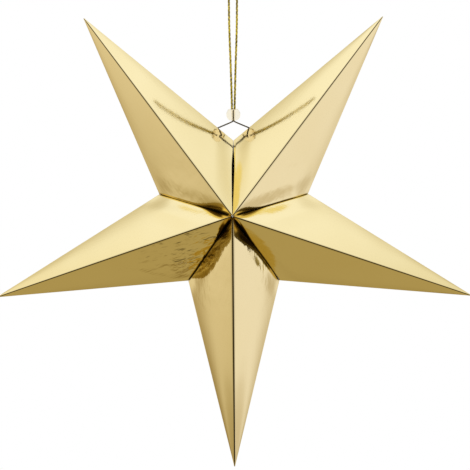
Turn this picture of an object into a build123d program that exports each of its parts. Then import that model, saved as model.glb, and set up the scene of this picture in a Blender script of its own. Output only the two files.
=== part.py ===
from build123d import *
import os
from math import cos, hypot, radians, sin, tan

# Hanging paper star: five hollow points of folded foil card, glued flap to flap, with one seam
# that stays open. A thread through two punched holes ties the open seam, a clear bead gathers
# the thread, and a gold cord loop carries the star.
# Star frame: X to the right, Y up and Z towards the viewer, with the origin on the hub axis.
# A point is made along +X and turned into its place. The finished part has +Z up and faces -Y.

# Star
POINT_NAMES = (
    "point_upper_left",
    "point_lower_left",
    "point_bottom",
    "point_lower_right",
    "point_upper_right",
)
SEAM_DEGREES = 2.0
APEX_RADIUS = 160.5
TIP_BLUNT = 1.5
NOTCH_RADIUS = 49.8
HUB_RISE = 47.0
HUB_OPENING = 0.6
HUB_DROP = 147.8

# Card and its folds
CARD = 0.4
INNER_FOLD_RADIUS = 0.8
TIP_FOLD_SHARE = 0.1
FLAP_WIDTH = 7.0
FLAP_END_INSET = 1.2
FLAP_TAPER_DEGREES = 35.0
GLUE_FLAP_WIDTH = 6.0
GLUE_FLAP_TIP_INSET = 26.0
GLUE_FLAP_HUB_INSET = 9.0

# Tie holes, punched on the outline fold before folding
TIE_HOLE_FROM_NOTCH = 11.4

# Bead
BEAD_CENTRE_HEIGHT = 65.4
BEAD_DIAMETER = 9.0
BEAD_HEIGHT = 7.4
BEAD_EDGE_BREAK = 0.3
BEAD_SEAT_DEPTH = 1.0

# Thread and cord
THREAD_DIAMETER = 0.95
THREAD_EXIT_DROP = 0.6
THREAD_EXIT_RADIUS = 1.1
THREAD_SPACING = 1.1
END_KNOT_DIAMETER = 3.0
CENTRE_KNOT_HEIGHT = 1.4
CENTRE_KNOT_EDGE_BREAK = 0.4
CORD_DIAMETER = 1.45
CORD_END_SPACING = 1.6

# Cord loop, right and up from the hook: up the left strand, over the hook, down the right one
CORD_ROUTE = (
    (-0.78, -80.8),
    (-1.35, -56.8),
    (-2.45, -27.8),
    (-2.60, 0.7),
    (2.60, 0.7),
    (2.45, -27.8),
    (1.35, -56.8),
    (0.78, -80.8),
)
CORD_ARC_SHARE = 0.45
HOOK_ARC_SHARE = 0.49
HOOK_CORNERS = (2, 3)

# Clearances
KNOT_CLEARANCE = 0.2
THREAD_CLEARANCE = 0.25
CORD_CLEARANCE = 0.35
TIE_HOLE_CLEARANCE = 1.25
OVERRUN = 5.0

# Worked out from the sizes above
PITCH_DEGREES = (360.0 - SEAM_DEGREES) / len(POINT_NAMES)
HALF_PITCH = radians(PITCH_DEGREES / 2)
NOTCH_X = NOTCH_RADIUS * cos(HALF_PITCH)
NOTCH_Y = NOTCH_RADIUS * sin(HALF_PITCH)
HUB_HALF_WIDTH = NOTCH_Y * APEX_RADIUS / (APEX_RADIUS - NOTCH_X)
PANEL_NORMAL = Vector(1 / APEX_RADIUS, 1 / HUB_HALF_WIDTH, 1 / HUB_RISE).normalized()
CARD_ALONG_AXIS = CARD / PANEL_NORMAL.X
TIE_HOLE_DIAMETER = THREAD_DIAMETER + TIE_HOLE_CLEARANCE
BEAD_BORE = THREAD_SPACING + THREAD_DIAMETER + THREAD_CLEARANCE
BEAD_SEAT_DIAMETER = CORD_END_SPACING + CORD_DIAMETER + CORD_CLEARANCE
CENTRE_KNOT_DIAMETER = BEAD_BORE - 2 * KNOT_CLEARANCE
BEAD_TOP = BEAD_CENTRE_HEIGHT + BEAD_HEIGHT / 2
BEAD_BOTTOM = BEAD_CENTRE_HEIGHT - BEAD_HEIGHT / 2
SEAT_FLOOR = BEAD_TOP - BEAD_SEAT_DEPTH


def to_frame(shape):
    """Stand the star up facing -Y, with the inside of the cord loop's top at the origin."""
    return Pos(0, 0, -HUB_DROP) * Rot(90, 0, 0) * shape


def fold_section(x, half_width, half_rise, fold_radius):
    """Section across a point: a rhombus whose four folds are rounded."""
    rhombus = Polygon((half_width, 0), (0, half_rise), (-half_width, 0), (0, -half_rise))
    rounded = fillet(rhombus.vertices(), fold_radius)
    return Plane(origin=(x, 0, 0), x_dir=(0, 1, 0), z_dir=(1, 0, 0)) * rounded


def side_face(hub_edge, tip_edge):
    """Side of a point from hub to tip: a flat panel from a line, a ruled fold from an arc."""
    if hub_edge.geom_type == GeomType.LINE:
        corners = (hub_edge @ 0, hub_edge @ 1, tip_edge @ 1, tip_edge @ 0)
        return make_face(Polyline(*corners, close=True)).face()
    return Face.make_surface_from_curves(hub_edge, tip_edge)


def point_cone(apex, hub_fold):
    """Four flat panels that meet at the apex, with folds that open out from tip to hub."""
    hub_scale = apex / APEX_RADIUS
    tip_scale = TIP_BLUNT / APEX_RADIUS
    tip_fold = TIP_BLUNT * TIP_FOLD_SHARE
    hub_end = fold_section(0, HUB_HALF_WIDTH * hub_scale, HUB_RISE * hub_scale, hub_fold)
    tip_end = fold_section(
        apex - TIP_BLUNT, HUB_HALF_WIDTH * tip_scale, HUB_RISE * tip_scale, tip_fold
    )
    sides = [side_face(*pair) for pair in zip(hub_end.edges(), tip_end.edges())]
    return Solid(Shell([hub_end.face(), tip_end.face(), *sides]))


def point_sector():
    """Space that one point may fill, between the radial planes of its two valleys."""
    reach = APEX_RADIUS + OVERRUN
    outline = Polygon(
        (HUB_OPENING, HUB_OPENING * tan(HALF_PITCH)),
        (HUB_OPENING, -HUB_OPENING * tan(HALF_PITCH)),
        (reach, -reach * tan(HALF_PITCH)),
        (reach, reach * tan(HALF_PITCH)),
        align=None,
    )
    return extrude(outline, amount=HUB_RISE + OVERRUN, both=True)


def valley_flap():
    """Front flap that turns in along the valley beside the left notch, in the radial plane."""
    valley_length = hypot(NOTCH_RADIUS, HUB_RISE)
    along = Vector(-NOTCH_RADIUS, HUB_RISE) / valley_length
    inward = Vector(-HUB_RISE, -NOTCH_RADIUS) / valley_length
    notch = Vector(NOTCH_RADIUS, 0)
    taper = FLAP_WIDTH / tan(radians(FLAP_TAPER_DEGREES))
    near = FLAP_END_INSET
    far = valley_length - FLAP_END_INSET - HUB_OPENING
    corners = (
        notch + along * near,
        notch + along * far,
        notch + along * (far - taper) + inward * FLAP_WIDTH,
        notch + along * (near + taper) + inward * FLAP_WIDTH,
    )
    outline = Polygon(*[(corner.X, corner.Y) for corner in corners], align=None)
    radial = Plane(
        origin=(0, 0, 0),
        x_dir=(cos(HALF_PITCH), sin(HALF_PITCH), 0),
        z_dir=(sin(HALF_PITCH), -cos(HALF_PITCH), 0),
    )
    return extrude(radial * outline, amount=CARD, dir=radial.z_dir)


def glue_flap():
    """Flap that closes the sheet along the back ridge, under the panel that it is glued to."""
    ridge_length = hypot(APEX_RADIUS, HUB_RISE)
    inner_normal = Vector(-PANEL_NORMAL.X, -PANEL_NORMAL.Y, PANEL_NORMAL.Z)
    ridge = Vector(-APEX_RADIUS, 0, -HUB_RISE).normalized()
    across = inner_normal.cross(ridge)
    side = 1 if across.Y > 0 else -1
    start = CARD * HUB_RISE / HUB_HALF_WIDTH
    taper = GLUE_FLAP_WIDTH / tan(radians(FLAP_TAPER_DEGREES))
    near = GLUE_FLAP_TIP_INSET
    far = ridge_length - GLUE_FLAP_HUB_INSET
    outline = Polygon(
        (near, side * start),
        (far, side * start),
        (far - taper, side * (start + GLUE_FLAP_WIDTH)),
        (near + taper, side * (start + GLUE_FLAP_WIDTH)),
        align=None,
    )
    face = Plane(
        origin=Vector(APEX_RADIUS, 0, 0) + inner_normal * CARD,
        x_dir=ridge,
        z_dir=inner_normal,
    )
    return extrude(face * outline, amount=CARD, dir=inner_normal)


def folded_point():
    """One point: a die-cut sheet folded into four panels, with its flaps turned in."""
    skin = point_cone(APEX_RADIUS, INNER_FOLD_RADIUS + CARD)
    hollow = point_cone(APEX_RADIUS - CARD_ALONG_AXIS, INNER_FOLD_RADIUS)
    point = (skin - hollow) & point_sector()
    upper_left_flap = valley_flap()
    left_flaps = [upper_left_flap, mirror(upper_left_flap, about=Plane.XY)]
    right_flaps = [mirror(flap, about=Plane.XZ) for flap in left_flaps]
    for flap in (*left_flaps, *right_flaps, glue_flap()):
        point += flap
    return point


def tie_hole(side):
    """Hole on the outline fold beside a notch, punched square to both panels that share it."""
    notch = Vector(NOTCH_X, side * NOTCH_Y, 0)
    to_tip = (Vector(APEX_RADIUS, 0, 0) - notch).normalized()
    centre = notch + to_tip * TIE_HOLE_FROM_NOTCH
    punch = Cylinder(TIE_HOLE_DIAMETER / 2, 2 * OVERRUN)
    front = Vector(PANEL_NORMAL.X, side * PANEL_NORMAL.Y, PANEL_NORMAL.Z)
    back = Vector(PANEL_NORMAL.X, side * PANEL_NORMAL.Y, -PANEL_NORMAL.Z)
    holes = [Plane(origin=centre, z_dir=normal).location * punch for normal in (front, back)]
    return holes[0] + holes[1]


def star_points():
    """The five points, counted from the seam at the top, with a tie hole on each side of it."""
    plain = folded_point()
    first_angle = 90.0 + SEAM_DEGREES / 2 + PITCH_DEGREES / 2
    points = {}
    for index, name in enumerate(POINT_NAMES):
        point = plain
        if index == 0:
            point = plain - tie_hole(-1)
        elif index == len(POINT_NAMES) - 1:
            point = plain - tie_hole(1)
        points[name] = Rot(0, 0, first_angle + index * PITCH_DEGREES) * point
    return points


def clear_bead():
    """Round bead with flat ends, a bore for the thread and a seat for the cord's two ends."""
    bead = Sphere(BEAD_DIAMETER / 2) & Cylinder(BEAD_DIAMETER, BEAD_HEIGHT)
    bead -= Cylinder(BEAD_BORE / 2, BEAD_DIAMETER)
    seat_height = (BEAD_HEIGHT - BEAD_SEAT_DEPTH) / 2
    bead -= Pos(0, 0, seat_height) * Cylinder(BEAD_SEAT_DIAMETER / 2, BEAD_SEAT_DEPTH)
    rims = bead.edges().filter_by(GeomType.CIRCLE).group_by(Axis.Z)
    bead = chamfer([*rims[0], *rims[-1]], BEAD_EDGE_BREAK)
    return Pos(0, BEAD_CENTRE_HEIGHT, 0) * Rot(-90, 0, 0) * bead


def tube(path, diameter):
    """Round tube along a path, with its length and its filling of the section printed."""
    profile = Plane(origin=path @ 0, z_dir=path % 0) * Circle(diameter / 2)
    solid = sweep(profile, path=path)
    share = solid.volume / (profile.area * path.length)
    print(f"tube of {path.length:.1f} mm, volume {share:.3f} of section times length")
    return solid


def thread_leg(side):
    """One thread leg: down the bore, round the bead's lower edge, through the hole to its knot."""
    hole_angle = radians(90.0 - side * SEAM_DEGREES / 2)
    notch = Vector(cos(hole_angle), sin(hole_angle)) * NOTCH_RADIUS
    tip_angle = radians(90.0 - side * (SEAM_DEGREES + PITCH_DEGREES) / 2)
    tip = Vector(cos(tip_angle), sin(tip_angle)) * APEX_RADIUS
    to_tip = (tip - notch).normalized()
    hole = notch + to_tip * TIE_HOLE_FROM_NOTCH
    depth = side * THREAD_SPACING / 2
    start = Vector(0, SEAT_FLOOR - CENTRE_KNOT_HEIGHT / 2, depth)
    turn = Vector(0, BEAD_BOTTOM - THREAD_EXIT_DROP, depth)
    heading = (hole - turn).normalized()
    inward = Vector(side * to_tip.Y, -side * to_tip.X, 0)
    knot_reach = END_KNOT_DIAMETER / 2 + CARD + KNOT_CLEARANCE
    knot_depth = knot_reach * hypot(HUB_HALF_WIDTH, HUB_RISE) / HUB_RISE
    knot_centre = hole + heading * (knot_depth / heading.dot(inward))
    path = FilletPolyline(start, turn, knot_centre, radius=THREAD_EXIT_RADIUS)
    return tube(path, THREAD_DIAMETER) + Pos(knot_centre) * Sphere(END_KNOT_DIAMETER / 2)


def tie_thread():
    """Thread that ties the open seam: two legs below the knot that holds the cord's ends."""
    knot = Cylinder(CENTRE_KNOT_DIAMETER / 2, CENTRE_KNOT_HEIGHT)
    knot = chamfer(knot.edges().filter_by(GeomType.CIRCLE), CENTRE_KNOT_EDGE_BREAK)
    knot = Pos(0, SEAT_FLOOR - CENTRE_KNOT_HEIGHT / 2, 0) * Rot(90, 0, 0) * knot
    return thread_leg(-1) + knot + thread_leg(1)


def hanging_cord():
    """Cord loop whose two ends are cut square on the bead's seat."""
    points = [Vector(right, HUB_DROP + up, 0) for right, up in CORD_ROUTE]
    runs = [after - before for before, after in zip(points, points[1:])]
    radii = []
    for corner, (before, after) in enumerate(zip(runs, runs[1:])):
        share = HOOK_ARC_SHARE if corner in HOOK_CORNERS else CORD_ARC_SHARE
        shorter = min(before.length, after.length)
        radii.append(share * shorter / tan(radians(before.get_angle(after) / 2)))
    print("cord arc radii", [round(radius, 1) for radius in radii])
    loop = tube(FilletPolyline(*points, radius=radii), CORD_DIAMETER)
    seat = Plane(origin=(0, SEAT_FLOOR, 0), z_dir=(0, 1, 0))
    return split(loop, bisect_by=seat, keep=Keep.TOP)


def main():
    """Write each piece to its own file, in the part's frame."""
    pieces = star_points()
    pieces["clear_bead"] = clear_bead()
    pieces["tie_thread"] = tie_thread()
    pieces["hanging_cord"] = hanging_cord()
    os.makedirs("parts", exist_ok=True)
    for name, piece in pieces.items():
        export_step(to_frame(piece), f"parts/{name}.step")


main()
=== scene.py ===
"""Looks of the hanging paper star: folded foil points, a clear bead, a tie thread and a cord."""

import logging
import math
from dataclasses import dataclass, field
from enum import Enum
from typing import Any, Mapping

import bmesh
import bpy
import numpy as np
from bpy.types import Material, Mesh, Node, NodeTree, Object
from bpy.types import NodeSocket as Socket
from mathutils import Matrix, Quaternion, Vector


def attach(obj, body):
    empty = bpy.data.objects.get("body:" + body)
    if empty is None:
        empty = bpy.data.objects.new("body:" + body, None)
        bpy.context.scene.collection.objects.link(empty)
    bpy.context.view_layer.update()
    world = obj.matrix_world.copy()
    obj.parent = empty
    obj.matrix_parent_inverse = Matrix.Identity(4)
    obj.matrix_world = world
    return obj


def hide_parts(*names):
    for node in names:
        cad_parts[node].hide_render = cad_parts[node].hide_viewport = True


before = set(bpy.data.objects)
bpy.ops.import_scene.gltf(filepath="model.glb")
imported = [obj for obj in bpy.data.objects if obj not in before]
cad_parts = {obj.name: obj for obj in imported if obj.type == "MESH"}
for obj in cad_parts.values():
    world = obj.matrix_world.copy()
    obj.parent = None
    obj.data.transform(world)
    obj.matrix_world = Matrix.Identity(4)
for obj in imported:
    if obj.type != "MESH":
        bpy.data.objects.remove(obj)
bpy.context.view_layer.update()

MM = 0.001
HUB_DROP = 147.8 * MM
WHITE = (1.0, 1.0, 1.0, 1.0)
BODY = "root"
LOG = logging.getLogger("paper_star")
Range = tuple[float, float]
Triple = tuple[float, float, float]
Colour = Triple


class SeamSide(Enum):
    """Which valleys of a point lie on the star's one open seam."""

    NONE = 0
    LEFT = 1
    RIGHT = -1


class CardSide(Enum):
    """Material slots of a folded point."""

    FOIL = 0
    PAPER = 1


class SheetPart(Enum):
    """Parts of a panel's section, from the outline to the ridge."""

    OUTLINE_FOLD = 0
    PANEL = 1
    RIDGE_FOLD = 2


class RidgeFold(Enum):
    """Radius of a point's ridge folds, and half the width of the line of painted shade on them."""

    CRISP = (0.65 * MM, 0.42 * MM)
    SOFT = (1.0 * MM, 0.75 * MM)


class Graph:
    """Short way to add and link nodes in one tree."""

    def __init__(self, tree: NodeTree) -> None:
        """Keep the tree that nodes are added to."""
        self.tree = tree

    def node(self, kind: str, sockets: dict[Any, Any] | None = None, **settings: Any) -> Node:
        """Add one node.

        Args:
            kind: The node's Blender type.
            sockets: A value or an output socket for each input, by name or index.
            **settings: Properties of the node itself.

        Returns:
            The new node.
        """
        made = self.tree.nodes.new(kind)
        for name, value in settings.items():
            setattr(made, name, value)
        for key, value in (sockets or {}).items():
            if isinstance(value, Socket):
                self.tree.links.new(value, made.inputs[key])
            else:
                made.inputs[key].default_value = value
        return made

    def out(self, kind: str, sockets: dict[Any, Any] | None = None, **settings: Any) -> Socket:
        """Add one node, as node() does, and give its first output."""
        return self.node(kind, sockets, **settings).outputs[0]

    def math(self, operation: str, first: Any, second: Any = 0.0) -> Socket:
        """Add a shader or geometry Math node.

        Args:
            operation: The operation's Blender name.
            first: First value or socket.
            second: Second value or socket.

        Returns:
            The node's output.
        """
        return self.out("ShaderNodeMath", {0: first, 1: second}, operation=operation)

    def vector(self, operation: str, first: Any, second: Any = (0.0, 0.0, 0.0)) -> Node:
        """Add a Vector Math node.

        Args:
            operation: The operation's Blender name.
            first: First vector or socket.
            second: Second vector or socket.

        Returns:
            The new node.
        """
        return self.node("ShaderNodeVectorMath", {0: first, 1: second}, operation=operation)

    def scaled(self, vector: Any, factor: Socket) -> Socket:
        """Add a Vector Math node that multiplies a vector by a number."""
        sockets = {0: vector, "Scale": factor}
        return self.out("ShaderNodeVectorMath", sockets, operation="SCALE")

    def noise(self, place: Socket, scale: float, detail: float = 2.0) -> Socket:
        """Add a Noise Texture node and give its value."""
        return self.out("ShaderNodeTexNoise", {"Vector": place, "Scale": scale, "Detail": detail})

    def mix(self, share: Socket, first: Any, second: Any) -> Socket:
        """Add a colour Mix node.

        Args:
            share: 0 for the first colour and 1 for the second.
            first: First colour or socket.
            second: Second colour or socket.

        Returns:
            The mixed colour.
        """
        ends = [end if isinstance(end, Socket) else (*end, 1.0) for end in (first, second)]
        sockets = {0: share, 6: ends[0], 7: ends[1]}
        return self.node("ShaderNodeMix", sockets, data_type="RGBA").outputs[2]

    def map_range(self, value: Socket, source: Range, to: Range, smooth: bool = False) -> Socket:
        """Add a Map Range node.

        Args:
            value: The value to map.
            source: Lowest and highest value that come in.
            to: The values that these become.
            smooth: Whether the change eases in and out.

        Returns:
            The mapped value.
        """
        return self.out(
            "ShaderNodeMapRange",
            {0: value, 1: source[0], 2: source[1], 3: to[0], 4: to[1]},
            interpolation_type="SMOOTHSTEP" if smooth else "LINEAR",
        )


def new_material(name: str) -> tuple[Material, Graph, Node]:
    """Make an empty node material.

    Args:
        name: The material's name.

    Returns:
        The material, its graph and its Principled shader, which is linked to the output.
    """
    material = bpy.data.materials.new(name)
    material.use_nodes = True
    material.node_tree.nodes.clear()
    graph = Graph(material.node_tree)
    shader = graph.node("ShaderNodeBsdfPrincipled")
    graph.node("ShaderNodeOutputMaterial", {"Surface": shader.outputs[0]})
    return material, graph, shader


def link_input(graph: Graph, shader: Node, name: str, value: Socket) -> None:
    """Link an output socket to one input of a shader."""
    graph.tree.links.new(value, shader.inputs[name])


def add_bump(graph: Graph, shader: Node, height: Socket, strength: float, depth: float) -> None:
    """Roughen a shader's surface.

    Args:
        graph: The material's graph.
        shader: The shader that gets the bump.
        height: The pattern's height, from 0 to 1.
        strength: How much of the bump shows.
        depth: How deep a height of 1 is.
    """
    sockets = {"Strength": strength, "Distance": depth, "Height": height}
    link_input(graph, shader, "Normal", graph.out("ShaderNodeBump", sockets))


@dataclass(frozen=True)
class FoilFinish:
    """Mirror-bright pale gold foil with a fine grain along the sheet, with painted shade darkening
    the lines along its ridges and valleys, which are also a little rougher.

    Grain, creases and the colour's drift run on the sheet's own UV map, in metres. Attributes of
    the sheet say where it is creased and where its ridge and valley lines carry painted shade.
    """

    name: str = "pale_gold_foil"
    gold: Colour = (0.90, 0.75, 0.41)
    deep_gold: Colour = (0.88, 0.72, 0.37)
    roughness: Range = (0.07, 0.10)
    grain_scale: Triple = (45.0, 620.0, 1.0)
    grain_strength: float = 0.4
    grain_depth: float = 0.03 * MM
    crease_scale: Triple = (110.0, 230.0, 1.0)
    crease_share: float = 160.0
    patch_scale: float = 55.0
    patch_range: Range = (0.38, 0.62)
    patch_share: Range = (0.1, 1.0)
    drift_scale: float = 22.0
    drift_range: Range = (0.3, 0.7)
    # painted shade: near-black colour of the ridge and valley lines, standing in for the dark
    # reflections and shade in the folds
    painted_fold_shade: Colour = (0.07, 0.045, 0.004)
    fold_roughness_gain: float = 0.2

    def build(self) -> Material:
        """Make the foil's material."""
        material, graph, shader = new_material(self.name)
        shader.inputs["Metallic"].default_value = 1.0
        sheet = graph.out("ShaderNodeUVMap", uv_map="UVMap")
        drift = graph.noise(sheet, self.drift_scale)
        fold_shade_share = graph.node("ShaderNodeAttribute", attribute_name="fold_shade_line").outputs["Fac"]
        gold = graph.mix(drift, self.gold, self.deep_gold)
        # painted shade: the ridge and valley lines are mixed towards near black, and made a little
        # rougher below
        link_input(graph, shader, "Base Color", graph.mix(fold_shade_share, gold, self.painted_fold_shade))
        polish = graph.map_range(drift, self.drift_range, self.roughness)
        dulled = graph.math("MULTIPLY", fold_shade_share, self.fold_roughness_gain)
        link_input(graph, shader, "Roughness", graph.math("ADD", polish, dulled))
        grain = graph.noise(self.stretched(graph, sheet, self.grain_scale), 1.0, detail=3.0)
        creases = graph.noise(self.stretched(graph, sheet, self.crease_scale), 1.0)
        where = graph.node("ShaderNodeAttribute", attribute_name="crinkle").outputs["Fac"]
        patchy = graph.noise(sheet, self.patch_scale)
        patches = graph.map_range(patchy, self.patch_range, self.patch_share)
        share = graph.math("MULTIPLY", graph.math("MULTIPLY", where, patches), self.crease_share)
        raised = graph.math("MULTIPLY", creases, share)
        height = graph.math("ADD", grain, raised)
        add_bump(graph, shader, height, self.grain_strength, self.grain_depth)
        return material

    @staticmethod
    def stretched(graph: Graph, place: Socket, scale: Triple) -> Socket:
        """Stretch a pattern's coordinates."""
        return graph.out("ShaderNodeMapping", {"Vector": place, "Scale": scale})


@dataclass(frozen=True)
class PaperFinish:
    """White card behind the foil and along its cut edges."""

    name: str = "white_card"
    pale: Colour = (0.80, 0.78, 0.72)
    shade: Colour = (0.72, 0.69, 0.62)
    roughness: float = 0.85
    fibre_scale: float = 1400.0
    fibre_strength: float = 0.25
    fibre_depth: float = 0.05 * MM

    def build(self) -> Material:
        """Make the card's material."""
        material, graph, shader = new_material(self.name)
        shader.inputs["Roughness"].default_value = self.roughness
        place = graph.node("ShaderNodeTexCoord").outputs["Object"]
        fibre = graph.noise(place, self.fibre_scale, detail=3.0)
        link_input(graph, shader, "Base Color", graph.mix(fibre, self.pale, self.shade))
        add_bump(graph, shader, fibre, self.fibre_strength, self.fibre_depth)
        return material


@dataclass(frozen=True)
class ClearPlasticFinish:
    """Polished clear plastic with a faint warm tint and moulding ripples."""

    name: str = "clear_bead_plastic"
    tint: Colour = (0.93, 0.87, 0.72)
    roughness: float = 0.03
    ior: float = 1.25
    ripple_scale: float = 420.0
    ripple_strength: float = 0.05
    ripple_depth: float = 0.1 * MM

    def build(self) -> Material:
        """Make the bead's material."""
        material, graph, shader = new_material(self.name)
        shader.inputs["Base Color"].default_value = (*self.tint, 1.0)
        shader.inputs["Roughness"].default_value = self.roughness
        shader.inputs["IOR"].default_value = self.ior
        shader.inputs["Transmission Weight"].default_value = 1.0
        place = graph.node("ShaderNodeTexCoord").outputs["Object"]
        ripple = graph.noise(place, self.ripple_scale, detail=1.0)
        add_bump(graph, shader, ripple, self.ripple_strength, self.ripple_depth)
        return material


@dataclass(frozen=True)
class YarnFinish:
    """Metallic yarn: bright and dark filaments in patches along each ply."""

    name: str
    bright: Colour
    dark: Colour
    metallic: float
    roughness: float = 0.38
    patch_scale: float = 900.0
    patch_range: Range = (0.38, 0.62)
    filament_scale: float = 5200.0
    filament_strength: float = 0.6
    filament_depth: float = 0.06 * MM

    def build(self) -> Material:
        """Make the yarn's material."""
        material, graph, shader = new_material(self.name)
        shader.inputs["Metallic"].default_value = self.metallic
        shader.inputs["Roughness"].default_value = self.roughness
        place = graph.node("ShaderNodeTexCoord").outputs["Object"]
        patch = graph.noise(place, self.patch_scale)
        share = graph.map_range(patch, self.patch_range, (0.0, 1.0))
        link_input(graph, shader, "Base Color", graph.mix(share, self.dark, self.bright))
        filament = graph.noise(place, self.filament_scale, detail=1.0)
        add_bump(graph, shader, filament, self.filament_strength, self.filament_depth)
        return material


@dataclass(frozen=True)
class FloorFinish:
    """Pale matt floor, white to camera and clear plastic but for the shadow below the star."""

    name: str = "pale_floor"
    colour: Colour = (0.82, 0.81, 0.79)
    roughness: float = 0.9
    shadow_reach: Range = (0.1, 0.6)
    white_share: Range = (0.55, 1.0)

    def build(self) -> Material:
        """Make the floor's material."""
        material, graph, shader = new_material(self.name)
        shader.inputs["Base Color"].default_value = (*self.colour, 1.0)
        shader.inputs["Roughness"].default_value = self.roughness
        white = graph.out("ShaderNodeEmission", {"Color": WHITE, "Strength": 1.0})
        rays = graph.node("ShaderNodeLightPath").outputs
        place = graph.node("ShaderNodeTexCoord").outputs["Object"]
        flat = graph.vector("MULTIPLY", place, (1.0, 1.0, 0.0)).outputs[0]
        away = graph.vector("LENGTH", flat).outputs["Value"]
        clear = graph.map_range(away, self.shadow_reach, self.white_share, smooth=True)
        past = graph.math("MAXIMUM", rays["Is Camera Ray"], rays["Is Transmission Ray"])
        share = graph.math("MULTIPLY", past, clear)
        mixed = graph.out("ShaderNodeMixShader", {0: share, 1: shader.outputs[0], 2: white})
        output = next(node for node in graph.tree.nodes if node.type == "OUTPUT_MATERIAL")
        graph.tree.links.new(mixed, output.inputs["Surface"])
        return material


def new_object(name: str, data: bpy.types.ID) -> Object:
    """Link a new object at the origin.

    Args:
        name: The object's name.
        data: Its mesh or curve.

    Returns:
        The object.
    """
    made = bpy.data.objects.new(name, data)
    bpy.context.scene.collection.objects.link(made)
    return made


def evaluated_mesh(source: Object) -> Mesh:
    """Plain mesh of an object as its modifiers leave it."""
    graph = bpy.context.evaluated_depsgraph_get()
    return bpy.data.meshes.new_from_object(source.evaluated_get(graph), depsgraph=graph)


def bake_modifiers(piece: Object) -> None:
    """Turn an object's modifiers into its plain mesh."""
    baked = evaluated_mesh(piece)
    baked.name = piece.name
    piece.modifiers.clear()
    piece.data = baked


def smooth_but_creased(mesh: Mesh, degrees: float) -> None:
    """Shade a mesh smooth, apart from edges sharper than an angle."""
    mesh.shade_smooth()
    mesh.set_sharp_from_angle(angle=math.radians(degrees))


def add_tree(
    piece: Object, tree: NodeTree, values: dict[str, Any]
) -> None:
    """Give an object a Geometry Nodes modifier and set its inputs.

    Args:
        piece: The object.
        tree: The node tree.
        values: A value for each named input of the tree.
    """
    modifier = piece.modifiers.new(tree.name, "NODES")
    modifier.node_group = tree
    for item in tree.interface.items_tree:
        if item.item_type == "SOCKET" and item.in_out == "INPUT" and item.name in values:
            modifier[item.identifier] = values[item.name]


def new_tree(name: str, inputs: Mapping[str, str]) -> tuple[Graph, Mapping[str, Socket]]:
    """Start a Geometry Nodes tree.

    Args:
        name: The tree's name.
        inputs: Name and kind of each input after the geometry.

    Returns:
        The tree's graph, and what comes in by name.
    """
    tree = bpy.data.node_groups.new(name, "GeometryNodeTree")
    tree.interface.new_socket("Geometry", in_out="INPUT", socket_type="NodeSocketGeometry")
    for label, kind in inputs.items():
        tree.interface.new_socket(label, in_out="INPUT", socket_type=f"NodeSocket{kind}")
    tree.interface.new_socket("Geometry", in_out="OUTPUT", socket_type="NodeSocketGeometry")
    graph = Graph(tree)
    return graph, graph.node("NodeGroupInput").outputs


def ease(share: np.ndarray) -> np.ndarray:
    """Clip a share to 0 and 1, and ease it in and out between them."""
    share = np.clip(share, 0.0, 1.0)
    return share * share * (3 - 2 * share)


def store_floats(mesh: Mesh, name: str, values: np.ndarray) -> None:
    """Store one number for each point of a mesh."""
    stored = mesh.attributes.new(name, "FLOAT", "POINT")
    stored.data.foreach_set("value", values.astype(np.float32).ravel())


@dataclass(frozen=True)
class Roll:
    """How a panel rolls over into its valley.

    The roll reaches so far into the panel, sinks so deep at the valley, and fades over a length
    of the valley. Crinkle is how creased the foil is beside it, flare is how far the panel lifts
    on its way to the roll, and taper is how much the roll narrows as it fades.
    """

    reach: float
    depth: float
    fade: float = 34.0 * MM
    crinkle: float = 0.0
    flare: float = 0.0
    taper: float = 1.0


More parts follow.
